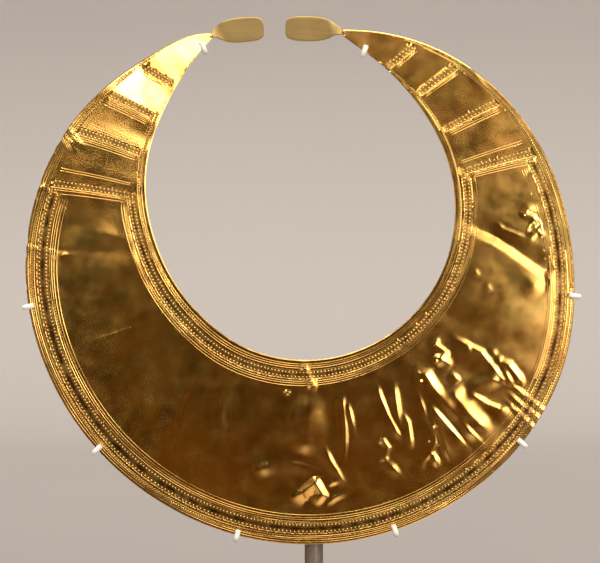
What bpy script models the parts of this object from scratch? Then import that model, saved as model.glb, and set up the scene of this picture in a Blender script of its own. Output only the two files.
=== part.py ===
"""A gold lunula: a crescent collar of thin beaten gold, held upright on a small display stand.

Metres, +Z up, and the gold faces -Y. The origin is the middle of the foot's underside.
A clock angle runs clockwise from the top of the crescent, as seen from the front, in degrees.
A share across runs from 0 at the inner rim to 1 at the outer rim.
"""

import math

import bmesh
import bpy
from mathutils import Vector

# The stand: a plate, an upright post, and a thin rod bent to follow the crescent behind the gold
FOOT_WIDTH = 0.110
FOOT_DEPTH = 0.080
FOOT_THICKNESS = 0.008
FOOT_BEVEL = 0.001
POST_DIAMETER = 0.0074
POST_SIDES = 32
SOCKET_DEPTH = 0.005
BACKING_ROD_DIAMETER = 0.003
PRONG_DIAMETER = 0.0016
TOUCH_GAP = 0.0003

# The gold crescent: its width over all, its sheet, and where the stand holds it
LUNULA_WIDTH = 0.2204
SHEET_THICKNESS = 0.0003
LOWER_EDGE_HEIGHT = 0.060
SHIFT_FROM_POST = -0.0056
GOLD_BEFORE_POST = 0.0012
BOW_DEPTH = 0.0036

# Both rims about the middle of the neck opening: clock angle, then each radius as a share of the width
RIM_KNOTS = (
    (10.9, 0.396, 0.405),
    (14, 0.3866, 0.4095),
    (24, 0.365, 0.425),
    (35, 0.345, 0.441),
    (60, 0.310, 0.469),
    (90, 0.271, 0.494),
    (120, 0.236, 0.529),
    (150, 0.2105, 0.538),
    (180, 0.200, 0.5355),
    (210, 0.203, 0.5235),
    (240, 0.218, 0.511),
    (270, 0.2565, 0.497),
    (300, 0.319, 0.472),
    (320, 0.363, 0.446),
    (334, 0.4035, 0.4325),
    (337.9, 0.4155, 0.423),
)
LOWEST_KNOT = 8

# The flat paddles that end the horns: clock angle and radius share at the neck and at the tip
RIGHT_PADDLE = ((9.9, 0.405), (-3.8, 0.4015))
LEFT_PADDLE = ((338.3, 0.4235), (350.7, 0.4065))
NECK_BEND_SHARE = 0.07
TERMINAL_HALF_HEIGHT = 0.0049
TERMINAL_THICKNESS = 0.0009
TERMINAL_TILT = 12.0
SHOULDER_POWER = 1.9
FREE_END_POWER = 4.0
NECK_THICKNESS = 0.0012
NECK_LENGTH = 0.0045

# The dotted channel round the main panel, by distance from each rim, and the bands across the horns
OUTER_CHANNEL = (0.0044, 0.0049, 0.0085, 0.0090)
INNER_CHANNEL = (0.0038, 0.0042, 0.0073, 0.0077)
BORDER_CROWDING = 0.8
PRESSED_DEPTH = 0.00015
BAND_HALF_WIDTH = 0.0012
BAND_EDGE = 0.0003
BAND_SLANT = 2.2
RIGHT_BANDS = (27.5, 38.8, 51.7, 65.9)
LEFT_BANDS = (286.4, 299.7, 310.8, 320.9)

# How finely the gold is cut: strips across the panel, stations on a paddle, degrees between stations
PANEL_STRIPS = 6
TERMINAL_STEPS = 8
FOLDED_FROM = 98.0
FOLDED_TO = 230.0
FOLDED_STEP = 3.0
PLAIN_STEP = 6.5

# Folds of the crumpled sheet: clock angle and share at each end, rise to the viewer, half width
FOLDS = (
    (83, 0.20, 87.3, 0.53, 0.0010, 0.0060),
    (87.3, 0.53, 94.2, 0.78, 0.0010, 0.0060),
    (120.4, 0.22, 119.5, 0.48, 0.0009, 0.0040),
    (119.5, 0.48, 122.8, 0.74, 0.0010, 0.0040),
    (119.6, 0.62, 124.5, 0.80, 0.0010, 0.0045),
    (128, 0.50, 123.8, 0.72, -0.0008, 0.0050),
    (130.4, 0.54, 127.6, 0.82, 0.0011, 0.0050),
    (131.6, 0.44, 134.4, 0.80, 0.0013, 0.0055),
    (138, 0.25, 138.2, 0.60, 0.0014, 0.0060),
    (138.2, 0.60, 134.8, 0.84, 0.0012, 0.0055),
    (140, 0.42, 140.3, 0.84, 0.0010, 0.0040),
    (144.4, 0.62, 150.8, 0.80, 0.0010, 0.0045),
    (144.5, 0.22, 150, 0.62, 0.0010, 0.0040),
    (148.5, 0.45, 153.5, 0.74, -0.0008, 0.0050),
    (149.5, 0.18, 152, 0.58, 0.0011, 0.0045),
    (152, 0.10, 154, 0.38, 0.0009, 0.0040),
    (159.8, 0.60, 157.0, 0.80, 0.0008, 0.0045),
    (162, 0.17, 168, 0.50, 0.0009, 0.0040),
    (164, 0.46, 168, 0.75, -0.0009, 0.0060),
    (174, 0.40, 170, 0.66, 0.0006, 0.0040),
    (181, 0.12, 179, 0.56, 0.0012, 0.0100),
    (192, 0.66, 185.8, 0.50, 0.0007, 0.0050),
    (210, 0.25, 198.4, 0.68, -0.0008, 0.0060),
    (217.9, 0.47, 207.9, 0.72, 0.0007, 0.0050),
    (222.4, 0.14, 217.9, 0.47, 0.0007, 0.0045),
    (227.6, 0.82, 225.2, 0.42, 0.0007, 0.0070),
    (246.6, 0.80, 241.8, 0.18, 0.0008, 0.0060),
    (264.5, 0.68, 262.2, 0.18, 0.0006, 0.0070),
    (269.2, 0.66, 268.6, 0.14, -0.0008, 0.0060),
    (295.4, 0.96, 293.8, 0.70, -0.0006, 0.0045),
)
FOLD_END_SHARE = 0.3

# The white clips that grip the rims: six on the outer rim, and one on the inner rim at each horn
SIDE_CLIPS = (99.6, 131.1, 161.3, 192.4, 225.4, 258.1)
TOP_CLIPS = (18.0, 334.4)
CLIP_DIAMETER = 0.0021
CLIP_FRONT_ARM = 0.0023
CLIP_BACK_ARM = 0.005
CLIP_BEND_SET_OUT = 0.0002
CLIP_BEND_STEPS = 7
CLIP_TIP_LENGTH = 0.0006
CLIP_TIP_RADIUS_SHARE = 0.65

# The backing rod's course, in degrees of clock angle, and its distance behind the gold
ROD_BEHIND_GOLD = 0.0025
ROD_SHORT_OF_TOP_CLIP = 2.6
ROD_STEP = 6.5
ROD_LEVEL_AT_POST = 4.0
ROD_BEND_SPREAD = 28.0

HALF_WIDTH = LUNULA_WIDTH / 2
LOWEST_RADIUS = RIM_KNOTS[LOWEST_KNOT][2] * LUNULA_WIDTH
MIDDLE = Vector((SHIFT_FROM_POST, LOWER_EDGE_HEIGHT + LOWEST_RADIUS))
MIDDLE_DEPTH = -(
    POST_DIAMETER / 2
    + GOLD_BEFORE_POST
    + SHEET_THICKNESS
    + BOW_DEPTH * (LOWEST_RADIUS / HALF_WIDTH) ** 2
)

for old in list(bpy.data.objects):
    bpy.data.objects.remove(old)


def material(name, colour, roughness, metallic):
    made = bpy.data.materials.new(name)
    made.use_nodes = True
    shader = made.node_tree.nodes["Principled BSDF"]
    shader.inputs["Base Color"].default_value = (*colour, 1)
    shader.inputs["Roughness"].default_value = roughness
    shader.inputs["Metallic"].default_value = metallic
    made.diffuse_color = (*colour, 1)
    return made


def place(name, mesh, finish, sharp_from=30):
    """One named object from a bmesh, shaded smooth except across its real edges."""
    data = bpy.data.meshes.new(name)
    mesh.to_mesh(data)
    mesh.free()
    data.shade_smooth()
    data.set_sharp_from_angle(angle=math.radians(sharp_from))
    data.materials.append(finish)
    made = bpy.data.objects.new(name, data)
    bpy.context.collection.objects.link(made)
    return made


def rod(name, points, diameter, finish, tip_share=1.0):
    """A round rod along a line of points, with flat ends. tip_share thins it at its last point."""
    data = bpy.data.curves.new(name, "CURVE")
    data.dimensions = "3D"
    data.bevel_depth = diameter / 2
    data.bevel_resolution = 2
    data.use_fill_caps = True
    line = data.splines.new("POLY")
    line.points.add(len(points) - 1)
    for point, here in zip(line.points, points):
        point.co = (*here, 1)
    line.points[-1].radius = tip_share
    data.materials.append(finish)
    made = bpy.data.objects.new(name, data)
    bpy.context.collection.objects.link(made)
    return made


def smooth_step(low, high, value):
    share = min(1.0, max(0.0, (value - low) / (high - low)))
    return share * share * (3 - 2 * share)


def knot_slope(k, column):
    """Slope of a rim at a knot, weighted by how near its neighbours are."""

    def chord(a, b):
        run = RIM_KNOTS[b][0] - RIM_KNOTS[a][0]
        return (RIM_KNOTS[b][column] - RIM_KNOTS[a][column]) / run, run

    if k == 0:
        return chord(0, 1)[0]
    if k == len(RIM_KNOTS) - 1:
        return chord(k - 1, k)[0]
    (before, run_before), (after, run_after) = chord(k - 1, k), chord(k, k + 1)
    return (before * run_after + after * run_before) / (run_before + run_after)


def rim_share(angle, column):
    """A smooth curve through one rim's knots."""
    last = len(RIM_KNOTS) - 1
    k = next((n for n in range(1, last) if angle < RIM_KNOTS[n][0]), last) - 1
    start, end = RIM_KNOTS[k], RIM_KNOTS[k + 1]
    run = end[0] - start[0]
    t = (angle - start[0]) / run
    return (
        (2 * t**3 - 3 * t**2 + 1) * start[column]
        + (t**3 - 2 * t**2 + t) * run * knot_slope(k, column)
        + (3 * t**2 - 2 * t**3) * end[column]
        + (t**3 - t**2) * run * knot_slope(k + 1, column)
    )


# The crescent's outline
def nearest_horn(angle):
    """The neck knot and the paddle of the horn that an angle is nearer to."""
    return (RIM_KNOTS[0], RIGHT_PADDLE) if angle < 180 else (RIM_KNOTS[-1], LEFT_PADDLE)


def on_terminal(angle):
    return not RIM_KNOTS[0][0] <= angle <= RIM_KNOTS[-1][0]


def past_neck(angle):
    """Distance of an angle from the nearest neck, along the gold."""
    neck = nearest_horn(angle)[0]
    return abs(math.radians(angle - neck[0])) * neck[2] * LUNULA_WIDTH


def polar(angle, share):
    """Place in the plane of the gold, measured from the middle of the neck opening."""
    turn = math.radians(angle)
    return Vector((math.sin(turn), math.cos(turn))) * share * LUNULA_WIDTH


def paddle_rims(angle):
    """Lower and upper edge of a paddle: straight, with a sloping shoulder and a square free end."""
    neck, (root_place, tip_place) = nearest_horn(angle)
    reach = (angle - neck[0]) / (tip_place[0] - neck[0])
    neck_point = polar(neck[0], (neck[1] + neck[2]) / 2)
    root, tip = polar(*root_place), polar(*tip_place)
    middle = neck_point.lerp(root.lerp(tip, reach), smooth_step(0, NECK_BEND_SHARE, reach))
    across = Vector((root.y - tip.y, tip.x - root.x)).normalized()
    across *= math.copysign(1, across.y)
    power = SHOULDER_POWER if reach < 0.5 else FREE_END_POWER
    rounding = max(0.0, 1 - abs(2 * reach - 1) ** power) ** (1 / power)
    neck_half = (neck[2] - neck[1]) / 2 * LUNULA_WIDTH
    half = max(neck_half, TERMINAL_HALF_HEIGHT * rounding)
    return middle - across * half, middle + across * half


def rims(angle):
    """Inner and outer rim of the gold at a clock angle, paddles included."""
    if on_terminal(angle):
        return paddle_rims(angle)
    return polar(angle, rim_share(angle, 1)), polar(angle, rim_share(angle, 2))


def width_at(angle):
    inner, outer = rims(angle)
    return (outer - inner).length


def at_share(angle, share):
    inner, outer = rims(angle)
    return inner.lerp(outer, share)


def fold_height(spot, fold):
    """Height of one fold at a spot: a rounded ridge along its line, lower at both ends."""
    angle_a, share_a, angle_b, share_b, rise, half_width = fold
    start = at_share(angle_a, share_a)
    along = at_share(angle_b, share_b) - start
    t = min(1.0, max(0.0, (spot - start).dot(along) / along.length_squared))
    away = (spot - start - along * t).length / half_width
    if away >= 1:
        return 0.0
    lengthwise = 1 - (1 - FOLD_END_SHARE) * (2 * t - 1) ** 2
    return rise * lengthwise * (1 - away * away) ** 2


def bowed_depth(spot):
    """Y of the gold's front face at a spot in its plane, from its slight bow alone."""
    return MIDDLE_DEPTH + BOW_DEPTH * spot.length_squared / HALF_WIDTH**2


def face_depth(spot):
    """Y of the gold's front face at a spot in its plane, with the folds."""
    return bowed_depth(spot) - sum(fold_height(spot, fold) for fold in FOLDS)


def metal_thickness(angle):
    """The sheet is thin, the necks are bars, and the paddles are plates."""
    plate = TERMINAL_THICKNESS if on_terminal(angle) else SHEET_THICKNESS
    return NECK_THICKNESS + (plate - NECK_THICKNESS) * smooth_step(0, NECK_LENGTH, past_neck(angle))


# The crescent's grid: stations along it, rows across it
def border_scale(angle):
    """The border keeps its real width on the main panel and narrows with the horns."""
    return min(1.0, width_at(angle) / (OUTER_CHANNEL[-1] + INNER_CHANNEL[-1]) * BORDER_CROWDING)


def rows_at(angle):
    """Every row across the gold: distance from the outer rim, front face alone, channel floor."""
    width = width_at(angle)
    scale = border_scale(angle)
    first, last = OUTER_CHANNEL[-1] * scale, width - INNER_CHANNEL[-1] * scale
    floor = (1, 2)
    rows = [(0.0, False, False)]
    rows += [(d * scale, k in floor, k in floor) for k, d in enumerate(OUTER_CHANNEL)]
    for k in range(1, PANEL_STRIPS):
        rows.append((first + (last - first) * k / PANEL_STRIPS, False, False))
    for k, d in reversed(list(enumerate(INNER_CHANNEL))):
        rows.append((width - d * scale, k in floor, k in floor))
    return rows + [(width, False, False)]


def band_stations(band):
    """The four stations that cut one cross band: the edges and the flat floor between them."""
    middle = at_share(band, 0.5).length
    floor = math.degrees(BAND_HALF_WIDTH / middle)
    edge = math.degrees((BAND_HALF_WIDTH + BAND_EDGE) / middle)
    return [(band - edge, False), (band - floor, True), (band + floor, True), (band + edge, False)]


def stations():
    """Clock angles along the whole gold from paddle to paddle, and whether each is on a band."""
    marks = [(RIM_KNOTS[k][0], False) for k in (0, 1, -2, -1)]
    marks += [(FOLDED_FROM, False), (FOLDED_TO, False)]
    for band in RIGHT_BANDS + LEFT_BANDS:
        marks += band_stations(band)
    for neck, paddle in (nearest_horn(0), nearest_horn(360)):
        for k in range(TERMINAL_STEPS):
            reach = (1 - math.cos(math.pi * (k + 0.5) / TERMINAL_STEPS)) / 2
            marks.append((neck[0] + (paddle[1][0] - neck[0]) * reach, False))
    marks.sort()
    found = marks[:1]
    for (start, _), (mark, pressed) in zip(marks, marks[1:]):
        step = FOLDED_STEP if FOLDED_FROM < mark <= FOLDED_TO else PLAIN_STEP
        pieces = math.ceil((mark - start) / step)
        found += [(start + (mark - start) * k / pieces, False) for k in range(1, pieces)]
        found.append((mark, pressed))
    return found


def front_point(station, from_outer):
    """A point of the front face. Rows slant a little on the horns, as the cross bands do."""
    width = width_at(station)
    share = 1 - from_outer / width
    slant = BAND_SLANT * math.cos(math.radians(station / 2)) * (2 * share - 1)
    slanted = RIM_KNOTS[1][0] <= station <= RIM_KNOTS[-2][0]
    spot = at_share(station + slant, share) if slanted else at_share(station, share)
    depth = face_depth(spot)
    if on_terminal(station):
        lean = math.tan(math.radians(TERMINAL_TILT)) * smooth_step(0, NECK_LENGTH, past_neck(station))
        depth -= lean * (width / 2 - from_outer)
    return Vector((spot.x + MIDDLE.x, depth, spot.y + MIDDLE.y))


def two_triangles(mesh, a, b, c, d):
    mesh.faces.new((a, b, c))
    mesh.faces.new((a, c, d))


def lunula(finish):
    """The whole gold work is one piece: crescent, necks and paddles."""
    mesh = bmesh.new()
    front, back = [], []
    first_band, last_band = RIGHT_BANDS[-1], LEFT_BANDS[0]
    for station, on_band in stations():
        behind = Vector((0, metal_thickness(station), 0))
        rows = rows_at(station)
        front_row, back_row = [], []
        for k, (from_outer, front_only, on_channel) in enumerate(rows):
            here = front_point(station, from_outer)
            between_borders = len(OUTER_CHANNEL) <= k < len(rows) - len(INNER_CHANNEL)
            in_channel = on_channel and first_band <= station <= last_band
            pressed = PRESSED_DEPTH if in_channel or (on_band and between_borders) else 0.0
            front_row.append(mesh.verts.new(here + Vector((0, pressed, 0))))
            back_row.append(None if front_only else mesh.verts.new(here + behind))
        front.append(front_row)
        back.append(back_row)

    shared = [k for k, vert in enumerate(back[0]) if vert]
    for near, far in zip(range(len(front)), range(1, len(front))):
        for k in range(len(front[near]) - 1):
            two_triangles(mesh, front[near][k], front[near][k + 1], front[far][k + 1], front[far][k])
        for k, m in zip(shared, shared[1:]):
            two_triangles(mesh, back[near][k], back[near][m], back[far][m], back[far][k])
        for k in (0, -1):
            two_triangles(mesh, front[near][k], front[far][k], back[far][k], back[near][k])
    for end in (0, -1):
        for k, m in zip(shared, shared[1:]):
            ring = [back[end][k], back[end][m]] + [front[end][j] for j in range(m, k - 1, -1)]
            for b, c in zip(ring[1:], ring[2:]):
                mesh.faces.new((ring[0], b, c))
    bmesh.ops.recalc_face_normals(mesh, faces=mesh.faces)
    return place("lunula", mesh, finish)


# The backing rod follows the middle of the crescent, and bends back to the post at its foot
POST_ANGLE = 180 - math.degrees(math.asin(-MIDDLE.x / at_share(180, 0.5).length))


def rod_point(angle):
    spot = at_share(angle, 0.5)
    gold_back = bowed_depth(spot) + SHEET_THICKNESS
    close = gold_back + ROD_BEHIND_GOLD + BACKING_ROD_DIAMETER / 2
    along = smooth_step(ROD_LEVEL_AT_POST, ROD_BEND_SPREAD, abs(angle - POST_ANGLE))
    return Vector((spot.x + MIDDLE.x, close * along, spot.y + MIDDLE.y))


def backing_rod(finish):
    start, end = TOP_CLIPS[0] + ROD_SHORT_OF_TOP_CLIP, TOP_CLIPS[1] - ROD_SHORT_OF_TOP_CLIP
    count = round((end - start) / ROD_STEP)
    points = [rod_point(start + (end - start) * k / count) for k in range(count + 1)]
    rod("backing_rod", points, BACKING_ROD_DIAMETER, finish)


# The clips: white sleeved hooks that reach round a rim and press on the front
class Grip:
    """Where a clip sits on a rim, and the depths of its arms before and behind the gold."""

    def __init__(self, angle, share, back_arm):
        self.rim = at_share(angle, share)
        self.out = self.rim.normalized() * (1 if share else -1)
        sideways = Vector((-self.out.y, self.out.x)) * CLIP_DIAMETER / 2
        clear = CLIP_DIAMETER / 2 + TOUCH_GAP

        def depths(arm):
            lengthwise = [self.rim - self.out * arm * k / 4 for k in range(5)]
            return [face_depth(spot + sideways * side) for spot in lengthwise for side in (-1, 0, 1)]

        self.front = min(depths(CLIP_FRONT_ARM)) - clear
        self.back = max(depths(back_arm)) + metal_thickness(angle) + clear

    def at(self, inward, depth):
        spot = self.rim - self.out * inward + MIDDLE
        return Vector((spot.x, depth, spot.y))

    def hook(self):
        """The bend round the rim and the short front arm, from behind to the front."""
        radius, middle = (self.back - self.front) / 2, (self.back + self.front) / 2
        points = []
        for k in range(CLIP_BEND_STEPS + 1):
            turn = math.pi * (k / CLIP_BEND_STEPS - 0.5)
            outward = CLIP_BEND_SET_OUT + radius * math.cos(turn)
            points.append(self.at(-outward, middle - radius * math.sin(turn)))
        points.append(self.at(CLIP_FRONT_ARM - CLIP_TIP_LENGTH, self.front))
        points.append(self.at(CLIP_FRONT_ARM, self.front))
        return points


def side_clip(number, angle, plastic, steel):
    """One clip on the outer rim, and the prong that carries it from the backing rod."""
    grip = Grip(angle, 1, CLIP_BACK_ARM)
    start = grip.at(CLIP_BACK_ARM, grip.back)
    rod(f"clip_{number}", [start] + grip.hook(), CLIP_DIAMETER, plastic, CLIP_TIP_RADIUS_SHARE)
    root = rod_point(angle)
    along = (start - root).normalized()
    near = root + along * (BACKING_ROD_DIAMETER / 2 + TOUCH_GAP)
    far = start - along * (TOUCH_GAP + PRONG_DIAMETER / 4)
    rod(f"prong_{number}", [near, far], PRONG_DIAMETER, steel)


def top_clip(number, angle, plastic):
    """A clip on the inner rim near a horn's tip, carried by the end of the backing rod."""
    width = width_at(angle)
    grip = Grip(angle, 0, width / 2)
    turn = ROD_SHORT_OF_TOP_CLIP if angle < 180 else -ROD_SHORT_OF_TOP_CLIP
    rod_end, before = rod_point(angle + turn), rod_point(angle + turn * 1.5)
    start = rod_end + (rod_end - before).normalized() * TOUCH_GAP * 1.5
    corner = grip.at(width * 0.45, (start.y + grip.back) / 2)
    bend = grip.hook()
    sweep = []
    for t in (0, 0.25, 0.5, 0.75):
        sweep.append(start * (1 - t) ** 2 + corner * 2 * t * (1 - t) + bend[0] * t * t)
    rod(f"clip_{number}", sweep + bend, CLIP_DIAMETER, plastic, CLIP_TIP_RADIUS_SHARE)


# The post and the foot
def cylinder(name, diameter, length, finish):
    mesh = bmesh.new()
    radius = diameter / 2
    bmesh.ops.create_cone(
        mesh, cap_ends=True, segments=POST_SIDES, radius1=radius, radius2=radius, depth=length
    )
    return place(name, mesh, finish)


def cut(target, cutter):
    cutter.hide_render = True
    cutter.display_type = "WIRE"
    step = target.modifiers.new("cut " + cutter.name, "BOOLEAN")
    step.operation = "DIFFERENCE"
    step.object = cutter


def post(finish):
    """The post stands in the foot's socket, and its top is notched to carry the backing rod."""
    seat = rod_point(POST_ANGLE)
    bottom = FOOT_THICKNESS - SOCKET_DEPTH + TOUCH_GAP
    top = seat.z + BACKING_ROD_DIAMETER / 3
    made = cylinder("post", POST_DIAMETER, top - bottom, finish)
    made.location = (0, 0, (top + bottom) / 2)
    notch = cylinder("rod notch", BACKING_ROD_DIAMETER + 2 * TOUCH_GAP, POST_DIAMETER * 2, finish)
    notch.location = seat
    along = rod_point(POST_ANGLE + 1) - rod_point(POST_ANGLE - 1)
    notch.rotation_euler = along.to_track_quat("Z", "Y").to_euler()
    cut(made, notch)


def foot(finish):
    mesh = bmesh.new()
    bmesh.ops.create_cube(mesh, size=1)
    bmesh.ops.scale(mesh, vec=(FOOT_WIDTH, FOOT_DEPTH, FOOT_THICKNESS), verts=mesh.verts)
    bmesh.ops.bevel(
        mesh, geom=mesh.edges, offset=FOOT_BEVEL, segments=2, profile=0.5, affect="EDGES"
    )
    made = place("foot", mesh, finish)
    made.location = (0, 0, FOOT_THICKNESS / 2)
    socket = cylinder("post socket", POST_DIAMETER + 2 * TOUCH_GAP, SOCKET_DEPTH * 2, finish)
    socket.location = (0, 0, FOOT_THICKNESS)
    cut(made, socket)


gold = material("gold", (0.80, 0.52, 0.17), 0.22, 1.0)
painted_steel = material("painted steel", (0.20, 0.17, 0.14), 0.45, 0.0)
white_sleeve = material("white sleeve", (0.83, 0.83, 0.80), 0.35, 0.0)

lunula(gold)
backing_rod(painted_steel)
for count, clock in enumerate(SIDE_CLIPS, start=1):
    side_clip(count, clock, white_sleeve, painted_steel)
for count, clock in enumerate(TOP_CLIPS, start=len(SIDE_CLIPS) + 1):
    top_clip(count, clock, white_sleeve)
post(painted_steel)
foot(painted_steel)
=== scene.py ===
import math

import bmesh
import bpy
import numpy as np
from mathutils import Matrix, Vector
from mathutils.geometry import delaunay_2d_cdt
from mathutils.kdtree import KDTree


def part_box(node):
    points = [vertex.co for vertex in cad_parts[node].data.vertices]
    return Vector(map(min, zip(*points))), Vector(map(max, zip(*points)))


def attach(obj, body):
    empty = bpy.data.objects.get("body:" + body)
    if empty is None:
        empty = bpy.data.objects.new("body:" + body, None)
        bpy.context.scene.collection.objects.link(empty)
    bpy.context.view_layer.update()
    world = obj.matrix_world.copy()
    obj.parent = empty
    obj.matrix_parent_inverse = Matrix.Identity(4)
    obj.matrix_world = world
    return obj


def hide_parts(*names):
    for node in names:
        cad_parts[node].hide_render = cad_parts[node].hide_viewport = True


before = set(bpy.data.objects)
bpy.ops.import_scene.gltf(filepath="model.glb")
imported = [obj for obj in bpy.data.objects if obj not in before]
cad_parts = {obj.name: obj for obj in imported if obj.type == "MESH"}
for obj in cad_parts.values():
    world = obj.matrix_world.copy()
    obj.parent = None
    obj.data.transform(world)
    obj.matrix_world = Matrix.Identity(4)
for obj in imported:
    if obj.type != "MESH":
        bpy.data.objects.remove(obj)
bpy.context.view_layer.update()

# The lunula: one crescent of beaten gold sheet, cut out with shears and burnished along both rims.
# Both rims are smooth curves about the middle of the neck opening. A clock angle runs clockwise from
# the top as seen from the front, and a share across runs from 0 at the inner rim to 1 at the outer.
MM = 0.001
LUNULA_WIDTH = 220.4 * MM
HALF_WIDTH = LUNULA_WIDTH / 2
LOWEST_RADIUS = 0.5355 * LUNULA_WIDTH
BOW_DEPTH = 3.6 * MM
SHEET_THICKNESS = 0.3 * MM
POST_RADIUS = 3.7 * MM
GOLD_BEFORE_POST = 1.2 * MM
MIDDLE_X = -5.6 * MM
MIDDLE_Z = 60 * MM + LOWEST_RADIUS
MIDDLE_Y = -(
    POST_RADIUS + GOLD_BEFORE_POST + SHEET_THICKNESS + BOW_DEPTH * (LOWEST_RADIUS / HALF_WIDTH) ** 2
)
RIM_KNOTS = np.array((
    (10.9, 0.396, 0.405),
    (14, 0.3866, 0.4095),
    (24, 0.365, 0.425),
    (35, 0.345, 0.441),
    (60, 0.310, 0.469),
    (90, 0.271, 0.494),
    (120, 0.236, 0.529),
    (150, 0.2105, 0.538),
    (180, 0.200, 0.5355),
    (210, 0.203, 0.5235),
    (240, 0.218, 0.511),
    (270, 0.2565, 0.497),
    (300, 0.319, 0.472),
    (320, 0.363, 0.446),
    (334, 0.4035, 0.4325),
    (337.9, 0.4155, 0.423),
))
FIRST_NECK, LAST_NECK = RIM_KNOTS[0, 0], RIM_KNOTS[-1, 0]
INNER, OUTER = 1, 2
chance = np.random.default_rng(11)


def rim_radius(angle, rim):
    """Radius of the inner or outer rim at clock angles: a smooth curve through its knots."""
    clocks, shares = RIM_KNOTS[:, 0], RIM_KNOTS[:, rim]
    run = np.diff(clocks)
    chord = np.diff(shares) / run
    within = (chord[:-1] * run[1:] + chord[1:] * run[:-1]) / (run[1:] + run[:-1])
    slope = np.concatenate([chord[:1], within, chord[-1:]])
    k = np.clip(np.searchsorted(clocks, angle, "right") - 1, 0, len(run) - 1)
    t = (angle - clocks[k]) / run[k]
    return LUNULA_WIDTH * (
        (2 * t**3 - 3 * t**2 + 1) * shares[k]
        + (t**3 - 2 * t**2 + t) * run[k] * slope[k]
        + (3 * t**2 - 2 * t**3) * shares[k + 1]
        + (t**3 - t**2) * run[k] * slope[k + 1]
    )


def polar(angle, radius):
    turn = np.radians(angle)
    return np.stack([np.sin(turn), np.cos(turn)], -1) * np.asarray(radius)[..., None]


def on_rim(angle, rim, outward=0.0):
    return polar(angle, rim_radius(angle, rim) + outward)


def at_share(angle, share):
    inner, outer = rim_radius(angle, INNER), rim_radius(angle, OUTER)
    return polar(angle, inner + (outer - inner) * share)


def clock_of(spots):
    return np.degrees(np.arctan2(spots[:, 0], spots[:, 1])) % 360


def clock_and_share(spots):
    angle = clock_of(spots)
    inner, outer = rim_radius(angle, INNER), rim_radius(angle, OUTER)
    return angle, (np.linalg.norm(spots, axis=1) - inner) / (outer - inner)


def smooth_step(low, high, value):
    share = np.clip((value - low) / (high - low), 0, 1)
    return share * share * (3 - 2 * share)


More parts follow.
